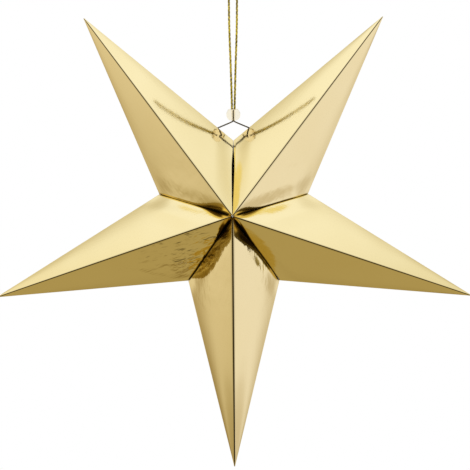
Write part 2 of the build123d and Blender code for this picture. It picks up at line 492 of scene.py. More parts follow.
@dataclass
class FoldedPoint:
    """One point of the star: a die-cut foil sheet folded into four panels, flaps turned in.

    It is made along +X, with Y across and Z towards the viewer, and a tree turns it into place.
    """

    node: str
    angle: float
    seed: int
    seam: SeamSide
    ridge: RidgeFold
    crowns: tuple[float, float, float, float]
    tip_bend: float
    rolls: tuple[Roll, Roll]
    back_rolls: tuple[Roll, Roll]
    bend_start: float = 55.0 * MM
    apex_radius: float = 160.5 * MM
    notch_radius: float = 49.8 * MM
    hub_rise: float = 47.0 * MM
    hub_opening: float = 0.15 * MM
    half_pitch: float = math.radians(35.8)
    seam_half_angle: float = math.radians(1.0)
    seam_bow: float = 0.4 * MM
    seam_tie_start: float = 0.62
    seam_tie_run: float = 0.34
    seam_shut_share: float = 0.94
    tip_blunt: float = 1.5 * MM
    card: float = 0.4 * MM
    outline_fold: float = 0.7 * MM
    widest_fold: float = 16.0 * MM
    fold_share_at_tip: float = 0.55
    valley_fold: float = 0.35 * MM
    valley_fold_clear: float = 0.8 * MM
    valley_fold_run: float = 2.0 * MM
    crown_edge: float = 14.0 * MM
    ripple_edge: float = 12.0 * MM
    roll_start: float = 9.0 * MM
    roll_share_at_notch: float = 0.2
    roll_power_at_hub: float = 0.4
    panel_spread: float = 0.84
    least_spread: float = 0.01 * MM
    flare_start: float = 10.0 * MM
    flare_run: float = 28.0 * MM
    flare_reach: float = 22.0 * MM
    flare_power: float = 1.5
    past_notch: float = 1.0 * MM
    roll_end: float = 6.0 * MM
    flare_end: float = 18.0 * MM
    crinkle_reach: float = 60.0 * MM
    crinkle_middle: float = 0.6
    crinkle_half_run: float = 0.4
    # width and strength of the painted shade lines along the ridges and valleys
    ridge_line_core: float = 1.25
    valley_line: float = 0.65 * MM
    valley_line_core: float = 1.3
    valley_line_share: float = 0.9
    valley_line_start: float = 5.0 * MM
    glue_gap: float = 0.02 * MM
    flap_width: float = 7.0 * MM
    flap_inset: float = 1.2 * MM
    flap_taper: float = math.radians(35.0)
    fold_steps: int = 7
    panel_steps: int = 26
    even_share: float = 0.6
    skin_rows: int = 84
    inner_rows: int = 40
    row_crowding: float = 1.7
    arc_rows: int = 6
    edge_halvings: int = 48

    def __post_init__(self) -> None:
        """Work out the point's section and the sheet's columns."""
        self.ridge_fold, self.fold_shade_line = self.ridge.value
        self.notch_x = self.notch_radius * math.cos(self.half_pitch)
        self.notch_y = self.notch_radius * math.sin(self.half_pitch)
        self.half_width = self.notch_y * self.apex_radius / (self.apex_radius - self.notch_x)
        self.panel_width = math.hypot(self.half_width, self.hub_rise)
        self.tilt = math.atan2(self.half_width, self.hub_rise)
        normal = np.array([1 / self.apex_radius, 1 / self.half_width, 1 / self.hub_rise])
        self.panel_normal = normal / np.linalg.norm(normal)
        self.inner_apex = self.apex_radius - self.card / self.panel_normal[0]
        self.hub = np.array([0.0, 0.0, self.hub_rise])
        self.notch = np.array([self.notch_x, self.notch_y, 0.0])
        self.valley_length = float(np.linalg.norm(self.notch - self.hub))
        self.along = (self.notch - self.hub) / self.valley_length
        to_valley = np.cross(self.along, self.panel_normal)
        from_apex = self.hub - [self.apex_radius, 0, 0]
        self.to_valley = to_valley * np.sign(np.dot(to_valley, from_apex))
        self.outward = np.array([-math.sin(self.half_pitch), math.cos(self.half_pitch), 0.0])
        inward = np.cross(self.outward, self.along)
        self.inward = -inward * np.sign(inward[2])
        outline = np.linspace(0.0, self.tilt, self.fold_steps)
        ridge = np.linspace(self.tilt, math.pi / 2, self.fold_steps)
        across = self.spread(self.panel_steps)
        sizes = [len(outline), len(across), len(ridge)]
        self.fold_angle = np.concatenate([outline, np.zeros(len(across)), ridge])
        self.across = np.concatenate([np.zeros(len(outline)), across, np.ones(len(ridge))])
        self.part = np.repeat([part.value for part in SheetPart], sizes)
        forward = list(range(sum(sizes)))
        loop = [
            *((i, 1, 1) for i in forward),
            *((i, -1, 1) for i in forward[-2::-1]),
            *((i, -1, -1) for i in forward[1:]),
            *((i, 1, -1) for i in forward[-2:0:-1]),
        ]
        self.column = np.array([i for i, _, _ in loop])
        self.side = np.array([y for _, y, _ in loop], float)
        self.face = np.array([z for _, _, z in loop], float)
        self.signs = np.stack([np.ones_like(self.side), self.side, self.face], -1)
        self.quarter = (self.side < 0).astype(int) + 2 * (self.face < 0).astype(int)
        self.on_panel = self.part[self.column] == SheetPart.PANEL.value
        self.on_ridge = self.part[self.column] == SheetPart.RIDGE_FOLD.value

    def spread(self, steps: int) -> np.ndarray:
        """Shares from 0 to 1 that lie closer together near both ends, without the ends."""
        even = np.linspace(0.0, 1.0, steps + 2)[1:-1]
        crowded = 0.5 - 0.5 * np.cos(math.pi * even)
        return self.even_share * even + (1 - self.even_share) * crowded

    def fold_radius(self, hub_radius: float, scale: np.ndarray) -> np.ndarray:
        """Radius of a fold, a little smaller towards the tip and never too wide for the section."""
        share = self.fold_share_at_tip
        return np.minimum(hub_radius * (share + (1 - share) * scale), self.widest_fold * scale)

    def section(self, scale: np.ndarray, columns: np.ndarray) -> tuple[np.ndarray, np.ndarray]:
        """Points of the rounded rhombus across the point, in its first quarter.

        Args:
            scale: Size of the section as a share of the one at the hub, per point.
            columns: Which column of the quarter each point lies on.

        Returns:
            Distances across and towards the viewer.
        """
        cosine, sine = math.cos(self.tilt), math.sin(self.tilt)
        outline = self.fold_radius(self.outline_fold, scale)
        ridge = self.fold_radius(self.ridge_fold, scale)
        turn = self.fold_angle[columns]
        outline_centre = self.half_width * scale - outline / cosine
        ridge_centre = self.hub_rise * scale - ridge / sine
        start = (outline_centre + outline * cosine, outline * sine)
        end = (ridge * cosine, ridge_centre + ridge * sine)
        share = self.across[columns]
        shapes = (
            (outline_centre + outline * np.cos(turn), outline * np.sin(turn)),
            tuple(a + share * (b - a) for a, b in zip(start, end)),
            (ridge * np.cos(turn), ridge_centre + ridge * np.sin(turn)),
        )
        return tuple(
            np.choose(self.part[columns], [shape[axis] for shape in shapes]) for axis in (0, 1)
        )

    def seam_reach(self, x: np.ndarray) -> np.ndarray:
        """How far the seam's edges bow past the sector's plane: shut behind, tied at the notch."""
        gap = x * math.tan(self.seam_half_angle) / math.cos(self.half_pitch) ** 2
        along = np.clip(x / self.notch_x, 0.0, 1.0)
        shut = ease((along - self.seam_tie_start) / self.seam_tie_run)
        behind = gap * self.seam_shut_share
        front = behind * shut - self.seam_bow * np.sin(math.pi * along) * (1 - shut)
        reach = np.where(self.face > 0, front, behind)
        return np.where(self.side == self.seam.value, reach, -self.glue_gap)

    def edge_scale(self, apex: float, inset: float) -> np.ndarray:
        """Scale at which each column reaches its valley, or the opening at the hub.

        Args:
            apex: Where the panels meet on the axis.
            inset: How far inside the sector's plane the column stops.

        Returns:
            One scale for each column.
        """
        low = np.full(len(self.column), self.tip_blunt / self.apex_radius)
        high = np.full(len(self.column), (apex - self.hub_opening) / self.apex_radius)
        for _ in range(self.edge_halvings):
            middle = (low + high) / 2
            x = apex - self.apex_radius * middle
            across, _ = self.section(middle, self.column)
            over = across > x * math.tan(self.half_pitch) - inset + self.seam_reach(x)
            high = np.where(over, middle, high)
            low = np.where(over, low, middle)
        return high

    def off_valley(self, spots: np.ndarray) -> np.ndarray:
        """Each point's distance across from the sector's plane."""
        return spots[..., 0] * math.tan(self.half_pitch) - np.abs(spots[..., 1])

    def crown(self, spots: np.ndarray, scale: np.ndarray) -> np.ndarray:
        """Slight outward bow of each panel, which is flat where it is glued or folded.

        Args:
            spots: Points of the flat skin.
            scale: Size of the section at each point.

        Returns:
            How far each point moves along its panel's normal.
        """
        share = self.across[self.column]
        shape = 1.0 - (2.0 * share - 1.0) ** 2
        shape = np.where(self.on_panel, shape, 0.0)
        depth = np.array(self.crowns)[self.quarter]
        width = self.panel_width * scale
        return shape * depth * width * ease(self.off_valley(spots) / self.crown_edge)

    def per_column(self, name: str) -> np.ndarray:
        """One value of the roll that belongs to each column's panel."""
        plans = (*self.rolls, *self.back_rolls)
        return np.array([getattr(plan, name) for plan in plans])[self.quarter]

    def valley_place(self, spots: np.ndarray) -> tuple[np.ndarray, np.ndarray]:
        """Each point's distance down its valley from the hub, and in the panel away from it."""
        from_hub = spots * self.signs - self.hub
        return np.maximum(from_hub @ self.along, 0), np.maximum(-(from_hub @ self.to_valley), 0)

    def roll(self, spots: np.ndarray) -> np.ndarray:
        """How far each point sinks where its panel rolls over into the valley.

        The roll spans the panel at the hub and narrows to the notch, where the panel flares up.

        Args:
            spots: Points of the flat skin.

        Returns:
            How far each point moves inward, in the valley's own plane.
        """
        down, away = self.valley_place(spots)
        fade, reach, depth = (self.per_column(name) for name in ("fade", "reach", "depth"))
        later = ease((down - self.roll_start) / fade)
        later = 1 - (1 - self.roll_share_at_notch) * later
        begun = np.minimum(down / self.roll_start, 1.0) ** self.roll_power_at_hub
        widest = np.maximum(self.panel_spread * down, self.least_spread)
        narrowed = reach * (1.0 - self.per_column("taper") * (1.0 - later))
        near = np.clip(1.0 - away / np.minimum(narrowed, widest), 0.0, 1.0)
        sunk = depth * begun * later * near * near
        risen = ease((down - self.flare_start) / self.flare_run)
        beside = np.clip(1.0 - away / np.minimum(widest, self.flare_reach), 0.0, 1.0)
        lift = self.per_column("flare") * risen * beside**self.flare_power
        left = np.maximum(self.valley_length + self.past_notch - down, 0.0)
        return sunk * np.minimum(left / self.roll_end, 1.0) - lift * ease(left / self.flare_end)

    def skin(self, apex: float, inset: float, shares: np.ndarray) -> np.ndarray:
        """Rows of a skin from the tip to the valleys.

        Args:
            apex: Where the panels meet on the axis.
            inset: How far inside the sector's plane the skin stops.
            shares: Place of each row, from 0 at the tip to 1 at the valleys.

        Returns:
            Points in rows and columns.
        """
        tip = self.tip_blunt / self.apex_radius
        edge = self.edge_scale(apex, inset)
        scale = tip + shares[:, None] * (edge - tip)[None, :]
        columns = np.broadcast_to(self.column, scale.shape)
        across, rise = self.section(scale, columns)
        spots = np.stack(
            [apex - self.apex_radius * scale, across * self.side, rise * self.face], axis=-1
        )
        normals = self.panel_normal * self.signs
        inward = self.inward * self.signs
        bowed = spots + self.crown(spots, scale)[..., None] * normals[None]
        rolled = bowed + self.roll(spots)[..., None] * inward[None]
        bend_run = self.apex_radius - self.bend_start
        bent = np.clip((spots[..., 0] - self.bend_start) / bend_run, 0.0, 1.0)
        rolled[..., 2] -= self.tip_bend * bent**2
        return rolled

    def flap_rows(self, edge: np.ndarray) -> tuple[np.ndarray, np.ndarray]:
        """Rows where the card turns in at the valleys, and both faces of the flaps.

        Args:
            edge: The skin's points at the valleys, one for each column.

        Returns:
            Rows of the valley fold down to the flap's end, and the flap's inner face back up.
        """
        length = self.valley_length
        inward = self.inward * self.signs
        from_notch = np.linalg.norm(np.abs(edge) - self.notch, axis=-1)
        nearest = np.minimum(from_notch, length - from_notch)
        begun = (nearest - self.valley_fold_clear) / self.valley_fold_run
        roll = self.valley_fold * np.clip(begun, 0.0, 1.0)
        room = np.minimum(from_notch, length - self.hub_opening - from_notch) - self.flap_inset
        width = np.clip(room * math.tan(self.flap_taper), 0.0, self.flap_width)
        width = np.maximum(width, roll)
        start = edge - self.to_valley * self.signs * roll[:, None]
        end = edge + inward * roll[:, None]
        steps = np.linspace(0.0, 1.0, self.arc_rows)[:, None, None]
        arc = (1 - steps) ** 2 * start + 2 * steps * (1 - steps) * edge + steps**2 * end
        tip = edge + inward * width[:, None]
        back = -self.outward * self.signs * self.card
        outer = np.concatenate([arc, tip[None]])
        inner = np.stack([tip + back, edge + inward * self.card + back])
        return outer, inner

    def build_sheet(self) -> Mesh:
        """Closed mesh of the folded sheet, still along +X, with its UV map and attributes."""
        shares = 1.0 - (1.0 - np.linspace(0.0, 1.0, self.skin_rows)) ** self.row_crowding
        outside = self.skin(self.apex_radius, 0.0, shares)
        flap, flap_back = self.flap_rows(outside[-1])
        inset = self.card / math.cos(self.half_pitch)
        inner_shares = 1.0 - np.linspace(0.0, 1.0, self.inner_rows) ** self.row_crowding
        inside = self.skin(self.inner_apex, inset, inner_shares)
        spots = np.concatenate([outside[:-1], flap, flap_back, inside])
        foil_rows = len(outside) - 1 + len(flap)
        rows, columns = spots.shape[:2]
        index = np.arange(rows * columns).reshape(rows, columns)
        right = np.roll(index, -1, axis=1)
        quads = np.stack([index[:-1], right[:-1], right[1:], index[1:]], axis=-1).reshape(-1, 4)
        faces = [*quads.tolist(), index[0][::-1].tolist(), index[-1].tolist()]
        mesh = bpy.data.meshes.new(self.node)
        mesh.from_pydata(spots.reshape(-1, 3).tolist(), [], faces)
        row_of_face = np.repeat(np.arange(rows - 1), columns)
        is_paper = np.concatenate([row_of_face >= foil_rows - 1, [False, True]])
        paper = mesh.attributes.new("paper", "BOOLEAN", "FACE")
        paper.data.foreach_set("value", is_paper)
        self.add_sheet_uv(mesh, spots, index)
        self.add_ripple_attributes(mesh, spots)
        return mesh

    def add_sheet_uv(self, mesh: Mesh, spots: np.ndarray, index: np.ndarray) -> None:
        """Lay the sheet out flat in its UV map: along the point, and out from its front ridge.

        Args:
            mesh: The sheet's mesh.
            spots: Its points in rows and columns.
            index: The number of each point in the mesh.
        """
        columns = index.shape[1]
        corner = np.empty(len(mesh.loops), np.int64)
        mesh.loops.foreach_get("vertex_index", corner)
        row, column = corner // columns, corner % columns
        scale = 1.0 - spots[..., 0] / self.apex_radius
        width = self.panel_width * scale
        off_ridge = width * (1.0 - self.across[self.column])
        out = np.where(self.face > 0, off_ridge, 2 * width - off_ridge)
        next_column = np.roll(np.arange(columns), -1)
        both = self.side + self.side[next_column]
        side = np.where(both == 0, -self.face, np.sign(both))
        side_of_corner = np.repeat(np.tile(side, len(spots) - 1), 4)
        caps = np.full(len(corner) - len(side_of_corner), 1.0)
        side_of_corner = np.concatenate([side_of_corner, caps])
        flat = np.stack([spots[row, column, 0], out[row, column] * side_of_corner], axis=-1)
        layer = mesh.uv_layers.new(name="UVMap")
        layer.data.foreach_set("uv", flat.astype(np.float32).ravel())

    def add_ripple_attributes(self, mesh: Mesh, spots: np.ndarray) -> None:
        """Store where the sheet ripples, crinkles and carries painted shade along its ridges and
        valleys.

        The outward direction is as long as the panel there is free to ripple.

        Args:
            mesh: The sheet's mesh.
            spots: Its points in rows and columns.
        """
        share = self.across[self.column]
        middle = np.where(self.on_panel, 4 * share * (1 - share), 0.0)
        free = np.clip(self.off_valley(spots) / self.ripple_edge, 0.0, 1.0)
        free = free * np.sqrt(middle)[None, :]
        outward = free[..., None] * (self.panel_normal * self.signs)[None]
        stored = mesh.attributes.new("outward", "FLOAT_VECTOR", "POINT")
        stored.data.foreach_set("vector", outward.astype(np.float32).ravel())
        down, away = self.valley_place(spots)
        off_middle = np.abs(down / self.valley_length - self.crinkle_middle)
        along = np.clip(1 - off_middle / self.crinkle_half_run, 0.0, 1.0)
        beside = np.clip(1 - away / self.crinkle_reach, 0.0, 1.0)
        store_floats(mesh, "crinkle", self.per_column("crinkle") * np.sqrt(along) * beside)
        # painted shade: a dark line down each ridge fold and each valley, which darkens the foil's
        # colour
        off_ridge = np.abs(spots[..., 1]) / self.fold_shade_line
        ridge = np.clip(self.ridge_line_core - off_ridge, 0.0, 1.0) * self.on_ridge
        valley = np.clip(self.valley_line_core - away / self.valley_line, 0.0, 1.0)
        valley *= down > self.valley_line_start
        valley *= self.on_panel & (self.side != self.seam.value)
        store_floats(mesh, "fold_shade_line", np.maximum(ridge, self.valley_line_share * valley))


@dataclass(frozen=True)
class Valley:
    """One valley, with the rolls of the panels before and after it, anticlockwise."""

    before: Roll
    after: Roll


@dataclass
class PaperStar:
    """Five folded points around the hub, with the tie holes beside the open seam."""

    foil: Material
    paper: Material
    hub_drop: float = HUB_DROP
    pitch: float = math.radians(71.6)
    seam: float = math.radians(2.0)
    ripple_depth: float = 0.3 * MM
    ripple_size: float = 26.0
    hole_from_notch: float = 11.4 * MM
    hole_diameter: float = 1.3 * MM
    hole_sides: int = 24
    punch_length: float = 10.0 * MM
    crease: float = 42.0
    merge_distance: float = 2e-7
    sliver_size: float = 1e-7
    valleys: tuple[Valley, ...] = (
        Valley(
            Roll(7.5 * MM, 2.2 * MM, 24.0 * MM, crinkle=0.12, flare=1.0 * MM),
            Roll(5.0 * MM, 1.8 * MM, 18.0 * MM, flare=1.0 * MM),
        ),
        Valley(
            Roll(4.0 * MM, 2.0 * MM, 15.0 * MM, crinkle=1.0, flare=0.3 * MM),
            Roll(23.0 * MM, 2.9 * MM, 18.0 * MM, crinkle=0.15, taper=0.15),
        ),
        Valley(
            Roll(11.0 * MM, 2.6 * MM, 26.0 * MM, crinkle=0.15, flare=1.4 * MM),
            Roll(2.0 * MM, 1.6 * MM, 20.0 * MM, crinkle=0.05),
        ),
        Valley(
            Roll(4.5 * MM, 1.0 * MM, 20.0 * MM, flare=0.8 * MM),
            Roll(4.0 * MM, 1.0 * MM, 16.0 * MM, crinkle=0.08, flare=1.4 * MM),
        ),
        Valley(
            Roll(6.0 * MM, 0.3 * MM, flare=0.3 * MM),
            Roll(2.0 * MM, 0.0, flare=0.3 * MM),
        ),
    )
    back_valley: Valley = Valley(
        Roll(4.0 * MM, 0.8 * MM, 24.0 * MM, flare=1.8 * MM),
        Roll(4.0 * MM, 0.6 * MM, 30.0 * MM, flare=1.8 * MM),
    )
    back_seam: Valley = Valley(
        Roll(4.0 * MM, 0.3 * MM, flare=1.2 * MM), Roll(4.0 * MM, 0.3 * MM, flare=1.2 * MM)
    )
    points: list[FoldedPoint] = field(default_factory=list)

    def __post_init__(self) -> None:
        """Name the points from the seam round, each with its own folds and bows."""
        first = math.pi / 2 + self.seam / 2 + self.pitch / 2
        crisp, soft = RidgeFold.CRISP, RidgeFold.SOFT
        plans = (
            ("point_upper_left", SeamSide.RIGHT, 2.0 * MM, crisp, (0.012, 0.012)),
            ("point_lower_left", SeamSide.NONE, 2.5 * MM, crisp, (0.012, 0.016)),
            ("point_bottom", SeamSide.NONE, 5.5 * MM, soft, (0.022, 0.024)),
            ("point_lower_right", SeamSide.NONE, 2.5 * MM, crisp, (0.012, 0.012)),
            ("point_upper_right", SeamSide.LEFT, 0.5 * MM, crisp, (0.014, 0.018)),
        )
        last = len(plans) - 1
        for number, (node, seam, bend, ridge, bows) in enumerate(plans):
            ahead, behind = self.valleys[number], self.valleys[number - 1]
            back_ahead = self.back_seam if number == last else self.back_valley
            back_behind = self.back_seam if number == 0 else self.back_valley
            self.points.append(
                FoldedPoint(
                    node,
                    first + number * self.pitch,
                    number + 1,
                    seam,
                    ridge,
                    crowns=(*bows, *bows),
                    tip_bend=bend,
                    rolls=(ahead.before, behind.after),
                    back_rolls=(back_ahead.before, back_behind.after),
                )
            )

    def placing_tree(self) -> NodeTree:
        """Tree that ripples a sheet's panels, turns the point into place and dresses it.

        Returns:
            The tree, with inputs for the angle, the drop, the ripple and both materials.
        """
        graph, given = new_tree(
            "folded_point_in_place",
            {
                "Angle": "Float",
                "Hub Drop": "Float",
                "Ripple Depth": "Float",
                "Ripple Scale": "Float",
                "Seed": "Float",
                "Foil": "Material",
                "Paper": "Material",
            },
        )
        noise = graph.out(
            "ShaderNodeTexNoise",
            {"W": given["Seed"], "Scale": given["Ripple Scale"], "Detail": 1.0},
            noise_dimensions="4D",
        )
        swing = graph.math("SUBTRACT", noise, 0.5)
        swing = graph.math("MULTIPLY", swing, given["Ripple Depth"])
        outward = graph.out(
            "GeometryNodeInputNamedAttribute", {"Name": "outward"}, data_type="FLOAT_VECTOR"
        )
        offset = graph.scaled(outward, swing)
        rippled = graph.out(
            "GeometryNodeSetPosition", {"Geometry": given["Geometry"], "Offset": offset}
        )
        single = graph.out("GeometryNodeGeometryToInstance", {0: rippled})
        turn = graph.out("ShaderNodeCombineXYZ", {"Z": given["Angle"]})
        turned = graph.out("GeometryNodeRotateInstances", {"Instances": single, "Rotation": turn})
        whole = graph.out("GeometryNodeRealizeInstances", {0: turned})
        down = graph.math("MULTIPLY", given["Hub Drop"], -1.0)
        lower = graph.out("ShaderNodeCombineXYZ", {"Z": down})
        upright = (math.pi / 2, 0.0, 0.0)
        hung = graph.out(
            "GeometryNodeTransform", {"Geometry": whole, "Translation": lower, "Rotation": upright}
        )
        foiled = graph.out(
            "GeometryNodeSetMaterial", {"Geometry": hung, "Material": given["Foil"]}
        )
        paper = graph.out(
            "GeometryNodeInputNamedAttribute", {"Name": "paper"}, data_type="BOOLEAN"
        )
        backed = graph.out(
            "GeometryNodeSetMaterial",
            {"Geometry": foiled, "Selection": paper, "Material": given["Paper"]},
        )
        graph.node("NodeGroupOutput", {0: backed})
        return graph.tree

    def to_frame(self, spot: Vector, angle: float) -> Vector:
        """Turn a spot of the point along +X into the part's frame."""
        x = spot.x * math.cos(angle) - spot.y * math.sin(angle)
        y = spot.x * math.sin(angle) + spot.y * math.cos(angle)
        return Vector((x, -spot.z, y - self.hub_drop))

    def punch(self, point: FoldedPoint, face: int) -> Object:
        """Cutter for the tie hole in one of the two panels that share the outline fold.

        Args:
            point: The point beside the seam.
            face: 1 for the front panel and -1 for the back one.

        Returns:
            A hidden cylinder, square to the panel.
        """
        side = point.seam.value
        notch = Vector((point.notch_x, side * point.notch_y, 0.0))
        apex = Vector((point.apex_radius, 0.0, 0.0))
        centre = notch + (apex - notch).normalized() * self.hole_from_notch
        signs = Vector((1.0, side, face))
        normal = Vector(point.panel_normal) * signs
        centre_here = self.to_frame(centre, point.angle)
        axis = (self.to_frame(centre + normal, point.angle) - centre_here).normalized()
        shape = bmesh.new()
        bmesh.ops.create_cone(
            shape,
            cap_ends=True,
            segments=self.hole_sides,
            radius1=self.hole_diameter / 2,
            radius2=self.hole_diameter / 2,
            depth=self.punch_length,
        )
        turn = Vector((0, 0, 1)).rotation_difference(axis).to_matrix()
        bmesh.ops.rotate(shape, matrix=turn, verts=shape.verts)
        bmesh.ops.translate(shape, vec=centre_here, verts=shape.verts)
        for edge_face in shape.faces:
            edge_face.material_index = CardSide.PAPER.value
        mesh = bpy.data.meshes.new("tie_hole_punch")
        shape.to_mesh(mesh)
        shape.free()
        mesh.materials.append(self.foil)
        mesh.materials.append(self.paper)
        return new_object(f"punch_{point.node}_{face}", mesh)

    def cut_tie_hole(self, piece: Object, point: FoldedPoint) -> None:
        """Punch the tie hole through both panels of the outline fold beside the seam."""
        punches = [self.punch(point, face) for face in (1, -1)]
        for cutter in punches:
            cut = piece.modifiers.new("tie_hole", "BOOLEAN")
            cut.operation = "DIFFERENCE"
            cut.solver = "FAST"
            cut.object = cutter
        bpy.context.view_layer.update()
        bake_modifiers(piece)
        for cutter in punches:
            bpy.data.objects.remove(cutter)

    def build_point(self, point: FoldedPoint, tree: NodeTree) -> Object:
        """Make one finished point and let it stand for its CAD node.

        Args:
            point: The point's plan.
            tree: The tree that places and dresses it.

        Returns:
            The piece.
        """
        mesh = point.build_sheet()
        shape = bmesh.new()
        shape.from_mesh(mesh)
        bmesh.ops.remove_doubles(shape, verts=shape.verts, dist=self.merge_distance)
        bmesh.ops.dissolve_degenerate(shape, edges=shape.edges, dist=self.sliver_size)
        bmesh.ops.recalc_face_normals(shape, faces=shape.faces)
        shape.to_mesh(mesh)
        shape.free()
        piece = new_object(f"foil_{point.node}", mesh)
        add_tree(
            piece,
            tree,
            {
                "Angle": point.angle,
                "Hub Drop": self.hub_drop,
                "Ripple Depth": self.ripple_depth,
                "Ripple Scale": self.ripple_size,
                "Seed": float(point.seed),
                "Foil": self.foil,
                "Paper": self.paper,
            },
        )
        bake_modifiers(piece)
        if point.seam is not SeamSide.NONE:
            self.cut_tie_hole(piece, point)
        smooth_but_creased(piece.data, self.crease)
        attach(piece, BODY)
        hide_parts(point.node)
        return piece

    def build(self) -> list[Object]:
        """Make the five points."""
        tree = self.placing_tree()
        return [self.build_point(point, tree) for point in self.points]


@dataclass
class ClearBead:
    """Round clear bead with flat ends, bored for the thread and seated for the cord's ends."""

    plastic: Material
    centre: float = 65.4 * MM - HUB_DROP
    diameter: float = 9.0 * MM
    height: float = 7.4 * MM
    bore: float = 2.3 * MM
    seat: float = 3.4 * MM
    seat_depth: float = 1.0 * MM
    edge: float = 0.3 * MM
    edge_share_of_belly: float = 0.6
    belly_steps: int = 28
    sides: int = 72
    crease: float = 35.0

    def profile(self) -> list[Range]:
        """Radius and height round the bead's section, up its belly and down its bore."""
        half = self.height / 2
        radius = self.diameter / 2
        rim = math.sqrt(radius**2 - half**2)
        low = math.asin((half - self.edge_share_of_belly * self.edge) / radius)
        belly = [
            (radius * math.cos(turn), radius * math.sin(turn))
            for turn in np.linspace(-low, low, self.belly_steps)
        ]
        seat, bore, edge = self.seat / 2, self.bore / 2, self.edge
        return [
            (rim - edge, -half),
            *belly,
            (rim - edge, half),
            (seat + edge, half),
            (seat, half - edge),
            (seat, half - self.seat_depth),
            (bore, half - self.seat_depth),
            (bore, edge - half),
            (bore + edge, -half),
        ]

    def build(self) -> Object:
        """Turn the section about the bead's axis and dress it."""
        ring = np.array(self.profile())
        turns = np.linspace(0.0, 2 * math.pi, self.sides, endpoint=False)
        spots = np.stack(
            [
                ring[:, None, 0] * np.cos(turns)[None],
                ring[:, None, 0] * np.sin(turns)[None],
                np.broadcast_to(ring[:, None, 1] + self.centre, (len(ring), self.sides)),
            ],
            axis=-1,
        )
        index = np.arange(len(ring) * self.sides).reshape(len(ring), self.sides)
        right = np.roll(index, -1, axis=1)
        above = np.roll(index, -1, axis=0)
        quads = np.stack([index, right, np.roll(above, -1, axis=1), above], axis=-1)
        mesh = bpy.data.meshes.new("clear_bead_body")
        mesh.from_pydata(spots.reshape(-1, 3).tolist(), [], quads.reshape(-1, 4).tolist())
        mesh.materials.append(self.plastic)
        smooth_but_creased(mesh, self.crease)
        piece = new_object("clear_bead_body", mesh)
        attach(piece, BODY)
        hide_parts("clear_bead")
        return piece


@dataclass
class TwistedYarn:
    """Yarn of several plies that are twisted together along a smooth route."""

    name: str
    route: tuple[Triple, ...]
    diameter: float
    plies: int
    lay: float
    samples: int
    finish: Material
    ply_share: float = 0.27
    ply_sides: int = 10
    curve_resolution: int = 24
    crease: float = 60.0

    def route_points(self) -> list[Triple]:
        """Points along the route's own smooth spline."""
        curve = bpy.data.curves.new(f"{self.name}_route", "CURVE")
        curve.dimensions = "3D"
        curve.resolution_u = self.curve_resolution
        spline = curve.splines.new("NURBS")
        spline.points.add(len(self.route) - 1)
        for control, spot in zip(spline.points, self.route):
            control.co = (*spot, 1.0)
        spline.order_u = 3
        spline.use_endpoint_u = True
        line = new_object(curve.name, curve)
        bpy.context.view_layer.update()
        mesh = evaluated_mesh(line)
        points = [tuple(vertex.co) for vertex in mesh.vertices]
        bpy.data.objects.remove(line)
        bpy.data.meshes.remove(mesh)
        return points

    @staticmethod
    def tree() -> NodeTree:
        """Tree that lays twisted plies along a line.

        Returns:
            The tree, with inputs for the plies, their sizes, the lay and the finish.
        """
        graph, given = new_tree(
            "twisted_yarn",
            {
                "Plies": "Int",
                "Ply Radius": "Float",
                "Ply Offset": "Float",
                "Lay": "Float",
                "Samples": "Int",
                "Ply Sides": "Int",
                "Finish": "Material",
            },
        )
        line = graph.out("GeometryNodeMeshToCurve", {0: given["Geometry"]})
        even = graph.out("GeometryNodeResampleCurve", {"Curve": line, "Count": given["Samples"]})
        along = graph.node("GeometryNodeSplineParameter").outputs["Length"]
        turns = graph.math("DIVIDE", along, given["Lay"])
        tilt = graph.math("MULTIPLY", turns, 2 * math.pi)
        twisted = graph.out("GeometryNodeSetCurveTilt", {"Curve": even, "Tilt": tilt})
        ring = graph.out(
            "GeometryNodeMeshCircle", {"Vertices": given["Plies"], "Radius": given["Ply Offset"]}
        )
        ply = graph.out(
            "GeometryNodeCurvePrimitiveCircle",
            {"Resolution": given["Ply Sides"], "Radius": given["Ply Radius"]},
        )
        placed = graph.out("GeometryNodeInstanceOnPoints", {"Points": ring, "Instance": ply})
        profile = graph.out("GeometryNodeRealizeInstances", {0: placed})
        tube = graph.out(
            "GeometryNodeCurveToMesh",
            {"Curve": twisted, "Profile Curve": profile, "Fill Caps": True},
        )
        whole = graph.out("GeometryNodeRealizeInstances", {0: tube})
        dressed = graph.out(
            "GeometryNodeSetMaterial", {"Geometry": whole, "Material": given["Finish"]}
        )
        graph.node("NodeGroupOutput", {0: dressed})
        return graph.tree

    def build(self, tree: NodeTree) -> tuple[Object, list[tuple]]:
        """Make the yarn.

        Args:
            tree: The tree that lays the plies.

        Returns:
            The piece, and the points that it follows.
        """
        points = self.route_points()
        mesh = bpy.data.meshes.new(self.name)
        mesh.from_pydata(points, [(i, i + 1) for i in range(len(points) - 1)], [])
        piece = new_object(self.name, mesh)
        ply_radius = self.diameter * self.ply_share
        add_tree(
            piece,
            tree,
            {
                "Plies": self.plies,
                "Ply Radius": ply_radius,
                "Ply Offset": self.diameter / 2 - ply_radius,
                "Lay": self.lay,
                "Samples": self.samples,
                "Ply Sides": self.ply_sides,
                "Finish": self.finish,
            },
        )
        bake_modifiers(piece)
        smooth_but_creased(piece.data, self.crease)
        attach(piece, BODY)
        return piece, points


